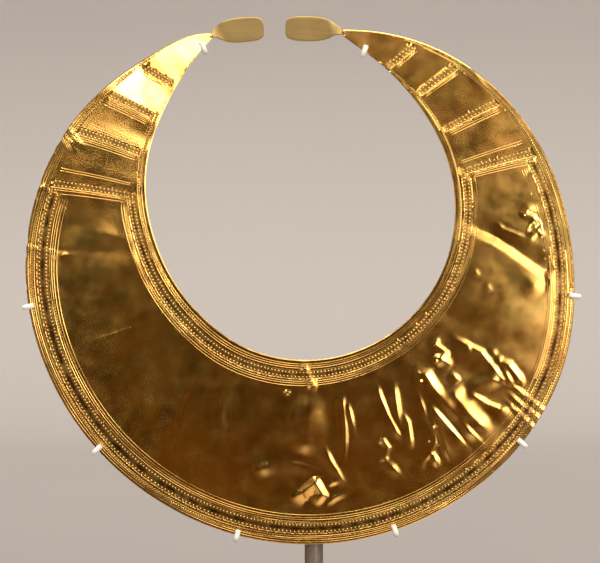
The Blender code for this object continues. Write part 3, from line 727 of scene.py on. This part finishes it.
def gold_piece(name):
    points, faces, normals, hollow_shade = build_gold()
    data = bpy.data.meshes.new(name)
    data.from_pydata(points.tolist(), [], faces.tolist())
    data.shade_smooth()
    spots = points[:, [0, 2]] - (MIDDLE_X, MIDDLE_Z)
    radius = np.linalg.norm(spots, axis=1)
    angle = clock_of(spots)
    angle = np.where(angle > LEFT_TIP_CLOCK, angle - 360, angle)
    past = np.maximum(FIRST_NECK - angle, angle - LAST_NECK)
    for title, values in (("hollow_shade", hollow_shade), ("paddle", smooth_step(-1.0, 1.2, past))):
        data.attributes.new(title, "FLOAT", "POINT").data.foreach_set("value", values.astype(np.float32))
    course = np.stack([np.radians(angle) * MEAN_RADIUS, radius], 1)[faces.ravel()]
    data.uv_layers.new(name="course").data.foreach_set("uv", course.astype(np.float32).ravel())
    data.normals_split_custom_set(normals.reshape(-1, 3).tolist())
    return placed_object(name, data)


def join(value, socket):
    if isinstance(value, bpy.types.NodeSocket):
        socket.id_data.links.new(value, socket)
    else:
        socket.default_value = value


def node(tree, kind, inputs, output=0, **settings):
    """One shader node with its settings and inputs, given by name or number. Returns its output."""
    made = tree.nodes.new("ShaderNode" + kind)
    for name, value in settings.items():
        setattr(made, name, value)
    for name, value in inputs.items():
        join(value, made.inputs[name])
    return made.outputs[output]


def mix(tree, share, first, second):
    return node(tree, "Mix", {0: share, 6: first, 7: second}, 2, data_type="RGBA")


def noise(tree, place, scale, detail=3.0, roughness=0.55):
    """Cloudy noise at one scale, or stretched by one for each axis."""
    if isinstance(scale, tuple):
        place, scale = node(tree, "VectorMath", {0: place, 1: scale}, operation="MULTIPLY"), 1.0
    inputs = {"Vector": place, "Scale": scale, "Detail": detail, "Roughness": roughness}
    return node(tree, "TexNoise", inputs)


def remap(tree, value, low, high, to_low=0.0, to_high=1.0):
    settings = {"Value": value, "From Min": low, "From Max": high, "To Min": to_low, "To Max": to_high}
    return node(tree, "MapRange", settings)


def maths(tree, operation, first, second=0.0):
    return node(tree, "Math", {0: first, 1: second}, operation=operation)


def bump(tree, height, distance, normal=None):
    inputs = {"Height": height, "Distance": distance, "Strength": 1.0}
    if normal is not None:
        inputs["Normal"] = normal
    return node(tree, "Bump", inputs)


def new_finish(name):
    """An empty finish: its node tree, its surface shader and the place on the object."""
    made = bpy.data.materials.new(name)
    made.use_nodes = True
    tree = made.node_tree
    return made, tree, tree.nodes["Principled BSDF"], node(tree, "TexCoord", {}, 3)


def dress(surface, tone, rough, relief, metallic=0.0):
    inputs = {"Base Color": tone, "Roughness": rough, "Normal": relief, "Metallic": metallic}
    for name, value in inputs.items():
        join(value, surface.inputs[name])


def beaten_gold():
    """Burnished gold: cloudy tones, painted shade darkening the tooling's hollows, fine scratches, brushed
    matt paddles.
    """
    made, tree, surface, place = new_finish("beaten_gold")
    course = node(tree, "UVMap", {}, uv_map="course")
    hollow_shade = node(tree, "Attribute", {}, 2, attribute_name="hollow_shade")
    paddle = node(tree, "Attribute", {}, 2, attribute_name="paddle")

    cloud = noise(tree, place, 42.0, 4.0)
    fine_cloud = noise(tree, place, 210.0, 5.0, 0.65)
    warm = mix(tree, remap(tree, cloud, 0.35, 0.65), (0.95, 0.56, 0.16, 1), (0.89, 0.49, 0.12, 1))
    tone = mix(tree, remap(tree, fine_cloud, 0.45, 0.8), warm, (0.80, 0.46, 0.13, 1))
    ruddy = remap(tree, noise(tree, place, 60.0, 4.0, 0.6), 0.5, 0.72)
    tone = mix(tree, maths(tree, "MULTIPLY", ruddy, 0.45), tone, (0.88, 0.37, 0.09, 1))
    olive = remap(tree, noise(tree, place, (55.0, 55.0, 80.0), 4.0, 0.6), 0.52, 0.72)
    tone = mix(tree, maths(tree, "MULTIPLY", olive, 0.5), tone, (0.56, 0.46, 0.11, 1))
    # Painted shade: the grooves, the channel floors and the feet of the beads are darkened unevenly towards
    # a near-black brown.
    painted_shade = maths(tree, "MULTIPLY", hollow_shade, remap(tree, fine_cloud, 0.3, 0.7, 0.7, 1.25))
    tone = mix(tree, painted_shade, tone, (0.060, 0.024, 0.005, 1))
    brushed = noise(tree, place, (120.0, 700.0, 1500.0))
    plate = mix(tree, brushed, (0.56, 0.40, 0.17, 1), (0.43, 0.29, 0.11, 1))

    rough = remap(tree, noise(tree, place, 130.0, 4.0, 0.6), 0.3, 0.75, 0.12, 0.22)
    rough = maths(tree, "ADD", rough, maths(tree, "MULTIPLY", hollow_shade, 0.22))
    rough = maths(tree, "ADD", rough, maths(tree, "MULTIPLY", paddle, 0.28))

    hammered = noise(tree, place, 75.0, 0.0)
    along = noise(tree, course, (14.0, 2600.0, 1.0), 1.0)
    crosswise = noise(tree, course, (2600.0, 22.0, 1.0), 1.0)
    scratch = maths(tree, "ADD", remap(tree, along, 0.5, 0.75), remap(tree, crosswise, 0.5, 0.75))
    relief = bump(tree, hammered, 0.00008)
    relief = bump(tree, scratch, 0.000001, relief)
    dress(surface, mix(tree, paddle, tone, plate), rough, relief, 1.0)
    return made


gold = gold_piece("gold_lunula")
gold.data.materials.append(beaten_gold())
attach(gold, "root")
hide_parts("lunula")

# The clips: wire hooks round the rims, each in a sleeve of translucent white tubing so that no steel
# touches the gold. Six hold the outer rim and two the inner rim, near the horns' tips.
SIDE_CLIPS = (99.6, 131.1, 161.3, 192.4, 225.4, 258.1)
TOP_CLIPS = (18.0, 334.4)
SLEEVE_RADIUS = 1.05 * MM
SLEEVE_BORE = 0.55 * MM
FRONT_ARM = 2.3 * MM
BACK_ARM = 5 * MM
BEND_SET_OUT = 0.2 * MM
BEND_STEPS = 14
TOUCH_GAP = 0.3 * MM
ROD_RADIUS = 1.5 * MM
ROD_BEHIND_GOLD = 2.5 * MM
ROD_SHORT_OF_TOP_CLIP = 2.6
ROD_LEVEL_AT_POST = 4.0
ROD_BEND_SPREAD = 28.0
POST_ANGLE = 180 - math.degrees(math.asin(-MIDDLE_X / np.linalg.norm(at_share(180.0, 0.5))))


def bowed_depth(spot):
    return MIDDLE_Y + BOW_DEPTH * float(spot @ spot) / HALF_WIDTH**2


def rod_point(angle):
    """The backing rod's middle line: close behind the gold, and back to the post's axis at its foot."""
    spot = at_share(angle, 0.5)
    close = bowed_depth(spot) + SHEET_THICKNESS + ROD_BEHIND_GOLD + ROD_RADIUS
    away = smooth_step(ROD_LEVEL_AT_POST, ROD_BEND_SPREAD, abs(angle - POST_ANGLE))
    return Vector((spot[0] + MIDDLE_X, close * away, spot[1] + MIDDLE_Z))


def tube(name, path, radius, tail, tip, sides=20):
    """A round piece along a path. tail and tip give each end's rings: distance past the end, radius."""
    behind, ahead = path[:1] + path[:-1], path[1:] + path[-1:]
    directions = [(far - near).normalized() for near, far in zip(behind, ahead)]
    side = directions[0].orthogonal().normalized()
    frames = []
    for direction in directions:
        side = (side - direction * side.dot(direction)).normalized()
        frames.append((side.copy(), direction.cross(side)))
    rings = [(path[0] - directions[0] * past, frames[0], size) for past, size in tail]
    rings += [(point, axes, radius) for point, axes in zip(path, frames)]
    rings += [(path[-1] + directions[-1] * past, frames[-1], size) for past, size in tip]
    return piece(name, skinned(rings, sides), 50)


def skinned(rings, sides):
    """A closed round skin over rings, each with its centre, its two axes and its radius."""
    mesh = bmesh.new()
    turns = [2 * math.pi * k / sides for k in range(sides)]
    loops = []
    for centre, (right, up), size in rings:
        spots = [centre + (right * math.cos(t) + up * math.sin(t)) * size for t in turns]
        loops.append([mesh.verts.new(spot) for spot in spots])
    for near, far in zip(loops, loops[1:]):
        for k in range(sides):
            mesh.faces.new((near[k - 1], near[k], far[k], far[k - 1]))
    mesh.faces.new(loops[0])
    mesh.faces.new(loops[-1][::-1])
    bmesh.ops.recalc_face_normals(mesh, faces=mesh.faces)
    return mesh


def piece(name, mesh, sharp_from=35):
    """One named object from a bmesh, smooth except across its real edges."""
    data = bpy.data.meshes.new(name)
    mesh.to_mesh(data)
    mesh.free()
    data.shade_smooth()
    data.set_sharp_from_angle(angle=math.radians(sharp_from))
    return placed_object(name, data)


def hook(rim, out, front, back):
    """The bend round a rim and the short front arm, from behind to the front."""
    radius, middle = (back - front) / 2, (back + front) / 2
    turns = [math.pi * (k / BEND_STEPS - 0.5) for k in range(BEND_STEPS + 1)]
    places = [(-(BEND_SET_OUT + radius * math.cos(t)), middle - radius * math.sin(t)) for t in turns]
    places += [(FRONT_ARM * share, front) for share in (0.3, 0.6, 0.85)]
    return [on_grip(rim, out, inward, depth) for inward, depth in places]


def on_grip(rim, out, inward, depth):
    spot = rim - out * inward
    return Vector((spot[0] + MIDDLE_X, depth, spot[1] + MIDDLE_Z))


def milky_sleeve():
    """Translucent white tubing, a little yellowed and dusty."""
    made, tree, surface, place = new_finish("milky_sleeve")
    cloud = noise(tree, place, 700.0)
    tone = mix(tree, cloud, (0.90, 0.90, 0.88, 1), (0.78, 0.77, 0.72, 1))
    relief = bump(tree, noise(tree, place, 1500.0), 0.00001)
    dress(surface, tone, remap(tree, cloud, 0.3, 0.7, 0.28, 0.42), relief)
    surface.inputs["Subsurface Weight"].default_value = 0.35
    surface.inputs["Subsurface Radius"].default_value = (0.0012, 0.0011, 0.0009)
    surface.inputs["Coat Weight"].default_value = 0.15
    return made


SLEEVE_TIP = (
    (0.30 * MM, SLEEVE_RADIUS * 0.98),
    (0.38 * MM, SLEEVE_RADIUS * 0.88),
    (0.39 * MM, SLEEVE_BORE * 1.15),
    (0.33 * MM, SLEEVE_BORE),
    (0.00 * MM, SLEEVE_BORE),
)
SLEEVE_TAIL = (
    (0.05 * MM, SLEEVE_BORE * 1.15),
    (0.05 * MM, SLEEVE_RADIUS * 0.9),
    (0.0, SLEEVE_RADIUS * 0.98),
)
sleeve_finish = milky_sleeve()
clip_starts = {}
for number, clock in enumerate(SIDE_CLIPS + TOP_CLIPS, start=1):
    low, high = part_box(f"clip_{number}")
    front = low[1] + SLEEVE_RADIUS
    on_side = number <= len(SIDE_CLIPS)
    rim = at_share(clock, 1.0 if on_side else 0.0)
    out = rim / np.linalg.norm(rim) * (1 if on_side else -1)
    if on_side:
        back = high[1] - SLEEVE_RADIUS
        clip_starts[number] = on_grip(rim, out, BACK_ARM, back)
        course = [clip_starts[number], on_grip(rim, out, BACK_ARM / 2, back)]
    else:
        width = gold_width(clock)
        deepest = max(bowed_depth(rim - out * width / 2 * k / 4) for k in range(5))
        back = deepest + sheet_thickness(clock) + SLEEVE_RADIUS + TOUCH_GAP
        turn = ROD_SHORT_OF_TOP_CLIP if clock < 180 else -ROD_SHORT_OF_TOP_CLIP
        rod_end, before = rod_point(clock + turn), rod_point(clock + turn * 1.5)
        start = rod_end + (rod_end - before).normalized() * TOUCH_GAP * 1.5
        corner = on_grip(rim, out, width * 0.45, (start.y + back) / 2)
        bend = hook(rim, out, front, back)[0]
        sweep = [k / 8 for k in range(8)]
        course = [start * (1 - t) ** 2 + corner * 2 * t * (1 - t) + bend * t * t for t in sweep]
    course += hook(rim, out, front, back)
    sleeve = tube(f"sleeve_{number}", course, SLEEVE_RADIUS, SLEEVE_TAIL, SLEEVE_TIP)
    sleeve.data.materials.append(sleeve_finish)
    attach(sleeve, "root")
    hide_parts(f"clip_{number}")

# The backing rod: one steel rod bent to follow the crescent behind the gold. It is painted grey-brown,
# and a thin wire is brazed to it for each clip on the outer rim.
PRONG_RADIUS = 0.8 * MM
ROD_STATIONS = 170


def painted_steel():
    """Satin grey-brown paint, brushed on thin, with rubbed spots and a little dust."""
    made, tree, surface, place = new_finish("grey_brown_paint")
    cloud = noise(tree, place, 260.0, 4.0)
    tone = mix(tree, remap(tree, cloud, 0.35, 0.7), (0.150, 0.112, 0.085, 1), (0.190, 0.150, 0.118, 1))
    speck = remap(tree, noise(tree, place, 2200.0, 2.0), 0.66, 0.74)
    tone = mix(tree, maths(tree, "MULTIPLY", speck, 0.5), tone, (0.36, 0.31, 0.26, 1))
    stroke = noise(tree, place, (900.0, 900.0, 60.0))
    relief = bump(tree, noise(tree, place, 1400.0), 0.000012, bump(tree, stroke, 0.00002))
    dress(surface, tone, remap(tree, cloud, 0.3, 0.7, 0.32, 0.46), relief, 0.25)
    return made


steel_finish = painted_steel()


def finish_steel(made, cad_node):
    made.data.materials.append(steel_finish)
    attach(made, "root")
    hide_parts(cad_node)


first_clock, last_clock = TOP_CLIPS[0] + ROD_SHORT_OF_TOP_CLIP, TOP_CLIPS[1] - ROD_SHORT_OF_TOP_CLIP
rod_path = [rod_point(clock) for clock in np.linspace(first_clock, last_clock, ROD_STATIONS)]
flat_end = ((0.0, ROD_RADIUS * 0.8),)
finish_steel(tube("bent_rod", rod_path, ROD_RADIUS, flat_end, flat_end), "backing_rod")
for number, clock in enumerate(SIDE_CLIPS, start=1):
    root, start = rod_point(clock), clip_starts[number]
    along = (start - root).normalized()
    wire = [root + along * (1.4 * MM), start + along * (0.6 * MM)]
    fillet = ((0.9 * MM, 1.5 * MM), (0.0, 1.45 * MM), (-0.35 * MM, 1.05 * MM), (-0.8 * MM, 0.85 * MM))
    end = ((0.0, PRONG_RADIUS * 0.6),)
    finish_steel(tube(f"prong_wire_{number}", wire, PRONG_RADIUS, fillet, end, 14), f"prong_{number}")

# The post: a round steel bar, painted like the rod. Its top is notched to carry the backing rod, and
# its lower end stands in a socket drilled in the foot.
FOOT_SIZE = Vector((110 * MM, 80 * MM, 8 * MM))
FOOT_BEVEL = 1.0 * MM
SOCKET_DEPTH = 5 * MM
POST_SIDES = 64


def lathed(name, outline_points):
    """A turned piece about the Z axis from radius and height pairs."""
    right, up, axis = Matrix.Identity(3)
    rings = [(axis * height, (right, up), radius) for radius, height in outline_points]
    return piece(name, skinned(rings, POST_SIDES))


def cut_out(target, cutter):
    """Cuts one piece's shape out of another for good, and drops the cutter."""
    step = target.modifiers.new("cut", "BOOLEAN")
    step.object = cutter
    step.solver = "EXACT"
    cut_data = bpy.data.meshes.new_from_object(target.evaluated_get(bpy.context.evaluated_depsgraph_get()))
    target.modifiers.clear()
    target.data = cut_data
    cut_data.shade_smooth()
    cut_data.set_sharp_from_angle(angle=math.radians(35))
    bpy.data.objects.remove(cutter)


seat = rod_point(POST_ANGLE)
post_bottom = FOOT_SIZE.z - SOCKET_DEPTH + TOUCH_GAP
post_top = seat.z + ROD_RADIUS * 2 / 3
post_outline = [(POST_RADIUS * 0.9, post_bottom), (POST_RADIUS, post_bottom + 0.4 * MM)]
post_outline += [(POST_RADIUS, post_bottom + (post_top - post_bottom) * k / 12) for k in range(1, 12)]
post_outline += [(POST_RADIUS, post_top - 0.35 * MM), (POST_RADIUS - 0.12 * MM, post_top - 0.1 * MM)]
post_outline += [(POST_RADIUS - 0.35 * MM, post_top)]
post = lathed("upright_post", post_outline)
notch_radius = ROD_RADIUS + TOUCH_GAP / 2
notch = lathed("notch_cutter", [(notch_radius, -10 * MM), (notch_radius, 10 * MM)])
level = (rod_point(POST_ANGLE + 1) - rod_point(POST_ANGLE - 1)).to_track_quat("Z", "Y").to_matrix().to_4x4()
notch.data.transform(Matrix.Translation(seat) @ level)
cut_out(post, notch)
finish_steel(post, "post")

# The foot: a flat steel plate that the post stands in, with its edges eased and painted like the rest.
mesh = bmesh.new()
bmesh.ops.create_cube(mesh, size=1)
bmesh.ops.scale(mesh, vec=FOOT_SIZE, verts=mesh.verts)
bmesh.ops.translate(mesh, vec=(0, 0, FOOT_SIZE.z / 2), verts=mesh.verts)
bmesh.ops.bevel(mesh, geom=mesh.edges, offset=FOOT_BEVEL, segments=5, profile=0.5, affect="EDGES")
foot = piece("foot_plate", mesh)
socket_radius = POST_RADIUS + TOUCH_GAP
socket_outline = [
    (socket_radius, FOOT_SIZE.z - SOCKET_DEPTH),
    (socket_radius, FOOT_SIZE.z - 0.3 * MM),
    (socket_radius + 0.6 * MM, FOOT_SIZE.z + 0.3 * MM),
]
cut_out(foot, lathed("socket_cutter", socket_outline))
finish_steel(foot, "foot")

# The studio: a pale matt sweep that is floor and backdrop in one, soft lights, and the photograph's
# camera. The gold mirrors a dim warm room with a few soft bright windows in it.
SWEEP_NEAR, SWEEP_FAR = -1.6, 1.5
SWEEP_HALF_WIDTH = 2.6
SWEEP_HEIGHT = 2.4
SWEEP_BEND = 0.5


def pale_sweep():
    mesh = bmesh.new()
    profile = [(SWEEP_NEAR, 0.0), (0.0, 0.0), (SWEEP_FAR - SWEEP_BEND, 0.0)]
    for k in range(1, 25):
        turn = math.pi / 2 * k / 24
        rise = SWEEP_BEND * (1 - math.cos(turn))
        profile.append((SWEEP_FAR - SWEEP_BEND + SWEEP_BEND * math.sin(turn), rise))
    profile.append((SWEEP_FAR, SWEEP_HEIGHT))
    left = [mesh.verts.new((-SWEEP_HALF_WIDTH, y, z)) for y, z in profile]
    right = [mesh.verts.new((SWEEP_HALF_WIDTH, y, z)) for y, z in profile]
    for k in range(len(profile) - 1):
        mesh.faces.new((left[k], right[k], right[k + 1], left[k + 1]))
    made = piece("pale_sweep", mesh, 60)
    finish, tree, surface, place = new_finish("pale_paint")
    tone = mix(tree, noise(tree, place, 1.6, 2.0), (0.335, 0.310, 0.300, 1), (0.305, 0.280, 0.270, 1))
    dress(surface, tone, 0.85, bump(tree, noise(tree, place, 240.0), 0.0001))
    made.data.materials.append(finish)
    made.visible_glossy = False
    return made


pale_sweep()


def soft_light(name, place, aim, size, power):
    lamp = bpy.data.lights.new(name, "AREA")
    lamp.shape = "RECTANGLE"
    lamp.size, lamp.size_y = size
    lamp.energy = power
    lamp.color = (1.0, 0.95, 0.88)
    made = placed_object(name, lamp)
    made.location = place
    made.rotation_euler = (Vector(aim) - Vector(place)).to_track_quat("-Z", "Y").to_euler()
    made.visible_glossy = False
    made.visible_camera = False


soft_light("ceiling_softbox", (0.1, 0.2, 2.0), (0.1, 0.9, 0.2), (1.6, 1.2), 3)
soft_light("front_softbox", (0.9, -1.5, 1.3), (0.2, 0.6, 0.2), (1.2, 1.0), 3)

# What the gold mirrors: direction of each bright window, its half size and softness in degrees
# (azimuth to the right of straight behind the camera), and its strength
WINDOWS = (
    (-7.6, 13.8, 2.0, 2.2, 1.3, 16.0),
    (27.5, 4, 4.5, 9, 9, 4.5),
    (32, 9, 4, 6, 4, 7.0),
    (-28, -4, 4, 8, 6, 1.6),
    (8, 34, 20, 6, 9, 4.0),
    (10, -34, 16, 6, 8, 1.0),
    (0, 64, 70, 12, 12, 4.5),
)
ROOM_LEFT = (0.038, 0.030, 0.006, 1)
ROOM_RIGHT = (0.040, 0.022, 0.005, 1)
ROOM_LOW = (0.088, 0.040, 0.006, 1)
ROOM_HIGH = (0.17, 0.120, 0.065, 1)
ROOM_PALE = (0.27, 0.235, 0.19, 1)


def mirrored_room():
    world = bpy.data.worlds.new("mirrored_room")
    world.use_nodes = True
    tree = world.node_tree
    heading = node(tree, "TexCoord", {}, 0)
    x, y, z = (node(tree, "SeparateXYZ", {0: heading}, k) for k in range(3))
    ahead = maths(tree, "MULTIPLY", y, -1.0)
    azimuth = maths(tree, "DEGREES", maths(tree, "ARCTAN2", x, ahead))
    elevation = maths(tree, "DEGREES", maths(tree, "ARCSINE", z))
    off_axis = maths(tree, "DEGREES", maths(tree, "ARCCOSINE", ahead))
    light = mix(tree, remap(tree, azimuth, -12.0, 12.0), ROOM_LEFT, ROOM_RIGHT)
    light = mix(tree, remap(tree, elevation, -3.0, -12.0), light, ROOM_LOW)
    light = mix(tree, remap(tree, elevation, 3.0, 14.0), light, ROOM_HIGH)
    light = mix(tree, remap(tree, off_axis, 24.0, 60.0), light, ROOM_PALE)
    shapes = noise(tree, heading, 9.0, 3.0, 0.6)
    shade = remap(tree, shapes, 0.36, 0.66, 0.3, 2.1)
    light = node(tree, "VectorMath", {0: light, "Scale": shade}, operation="SCALE")
    for clock, height, half_width, half_height, softness, strength in WINDOWS:
        shares = []
        for angle, middle, half in ((azimuth, clock, half_width), (elevation, height, half_height)):
            away = maths(tree, "ABSOLUTE", maths(tree, "SUBTRACT", angle, float(middle)))
            reach = {"From Min": float(half), "From Max": float(half + softness)}
            inputs = {"Value": away, "To Min": 1.0, "To Max": 0.0, **reach}
            shares.append(node(tree, "MapRange", inputs, interpolation_type="SMOOTHSTEP"))
        warm = (strength, strength * 0.95, strength * 0.88, 1)
        glow = mix(tree, maths(tree, "MULTIPLY", *shares), (0, 0, 0, 1), warm)
        light = node(tree, "VectorMath", {0: light, 1: glow}, operation="ADD")
    join(light, tree.nodes["Background"].inputs["Color"])
    bpy.context.scene.world = world


mirrored_room()
bpy.context.scene.view_settings.view_transform = "Standard"

CAMERA_DISTANCE = 0.7055
CAMERA_HEIGHT = 0.1652
camera_data = bpy.data.cameras.new("camera")
camera_data.lens = 105
camera_data.sensor_width = 36
camera_data.clip_start = 0.01
camera = placed_object("camera", camera_data)
camera.location = (MIDDLE_X, -CAMERA_DISTANCE, CAMERA_HEIGHT)
camera.rotation_euler = (math.pi / 2, 0, 0)
bpy.context.scene.camera = camera
